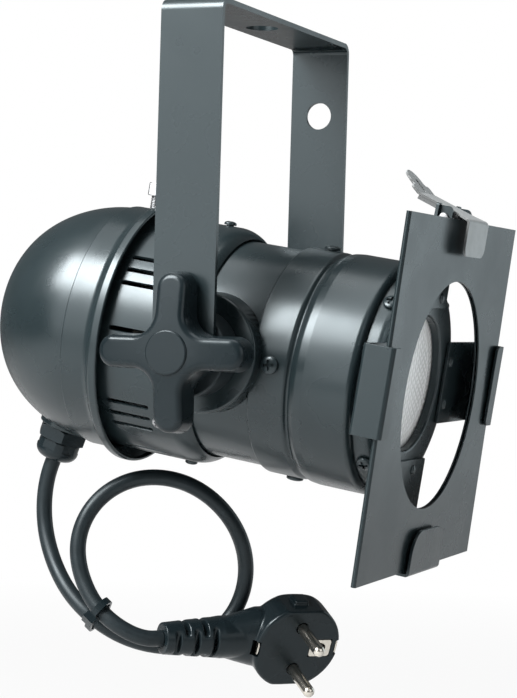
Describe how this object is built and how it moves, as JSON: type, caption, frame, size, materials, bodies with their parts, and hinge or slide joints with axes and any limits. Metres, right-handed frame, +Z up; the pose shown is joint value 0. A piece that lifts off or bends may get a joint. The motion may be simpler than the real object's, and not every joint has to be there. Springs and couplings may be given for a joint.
{
  "type": "par can spotlight",
  "caption": "Small black stage spotlight: a round lamp housing tilting in a bent-strip yoke, with a square gel frame in front and a short mains lead with an angled plug.",
  "frame": {"origin": "centre of the hanging hole, on the top face of the yoke's crossbar", "axes": "+Z up out of the crossbar, +X across the yoke from the left arm to the right arm along the tilt axis, -Y the way the lamp points"},
  "size_m": [0.1608, 0.1991, 0.2699],
  "materials": {
    "satin_black": "satin black powder coat",
    "black_zinc": "blackened zinc plate",
    "zinc_steel": "zinc-plated steel",
    "black_rubber": "smooth matt rubber",
    "black_plastic": "fine moulded grain",
    "nickel_plate": "nickel-plated brass",
    "white_ceramic": "glazed ceramic",
    "lamp_glass": "pressed glass lens",
    "mirror_coat": "vapour-coated reflector"
  },
  "bodies": {
    "yoke": {"yoke": "satin_black"},
    "can": {"rear_body": "satin_black", "neck_tube": "satin_black", "front_barrel": "satin_black", "front_ring": "satin_black", "rear_cover": "satin_black", "pivot_boss_left": "satin_black", "pivot_boss_right": "satin_black", "gel_frame": "satin_black", "left_channel": "satin_black", "right_channel": "satin_black", "bottom_channel": "satin_black", "top_bracket": "satin_black", "ring_screw_1": "satin_black", "ring_screw_2": "satin_black", "ring_screw_3": "satin_black", "ring_screw_4": "satin_black", "barrel_screw_1": "satin_black", "barrel_screw_2": "satin_black", "barrel_screw_3": "satin_black", "barrel_screw_4": "satin_black", "body_screw_top": "satin_black", "body_screw_bottom": "satin_black", "cover_lock_screw": "zinc_steel", "cover_lock_nut": "zinc_steel", "arm_washer_left": "zinc_steel", "arm_washer_right": "zinc_steel", "pivot_bolt_left": "zinc_steel", "pivot_bolt_right": "zinc_steel", "clip_pin": "zinc_steel", "clip_spring": "zinc_steel", "earth_screw": "zinc_steel", "earth_nut": "zinc_steel", "lampholder_bracket": "zinc_steel", "holder_screw_left": "zinc_steel", "holder_screw_right": "zinc_steel", "pivot_spacer_left": "black_rubber", "pivot_spacer_right": "black_rubber", "gland_seal": "black_rubber", "mains_lead": "black_rubber", "gland_body": "black_plastic", "gland_locknut": "black_plastic", "gland_dome_nut": "black_plastic", "cable_tie": "black_plastic", "plug_body": "black_plastic", "lamp_cap": "nickel_plate", "lampholder_sleeve": "nickel_plate", "plug_pin_left": "nickel_plate", "plug_pin_right": "nickel_plate", "plug_earth_socket": "nickel_plate", "plug_earth_clip_left": "nickel_plate", "plug_earth_clip_right": "nickel_plate", "lampholder": "white_ceramic", "terminal_block": "white_ceramic", "lamp_lens": "lamp_glass", "lamp_envelope": "mirror_coat"},
    "clip": {"top_clip": "black_zinc"},
    "knob_left": {"tilt_knob_left": "black_plastic"},
    "knob_right": {"tilt_knob_right": "black_plastic"}
  },
  "joints": [
    {"name": "can_tilt", "type": "hinge", "parent": "yoke", "child": "can", "pos_m": [0, 0, -0.131], "axis": [1, 0, 0], "range_deg": [-48, 85]},
    {"name": "knob_left_turn", "type": "hinge", "parent": "can", "child": "knob_left", "pos_m": [-0.0669, 0, -0.131], "axis": [-1, 0, 0], "continuous": true},
    {"name": "knob_right_turn", "type": "hinge", "parent": "can", "child": "knob_right", "pos_m": [0.0669, 0, -0.131], "axis": [1, 0, 0], "continuous": true},
    {"name": "top_clip_lift", "type": "hinge", "parent": "can", "child": "clip", "pos_m": [0, -0.08238, -0.07766], "axis": [-1, 0, 0], "range_deg": [0, 75], "stiffness_Nm_per_rad": 0.05, "springref_deg": -17.19, "deforming": ["clip_spring"]}
  ]
}
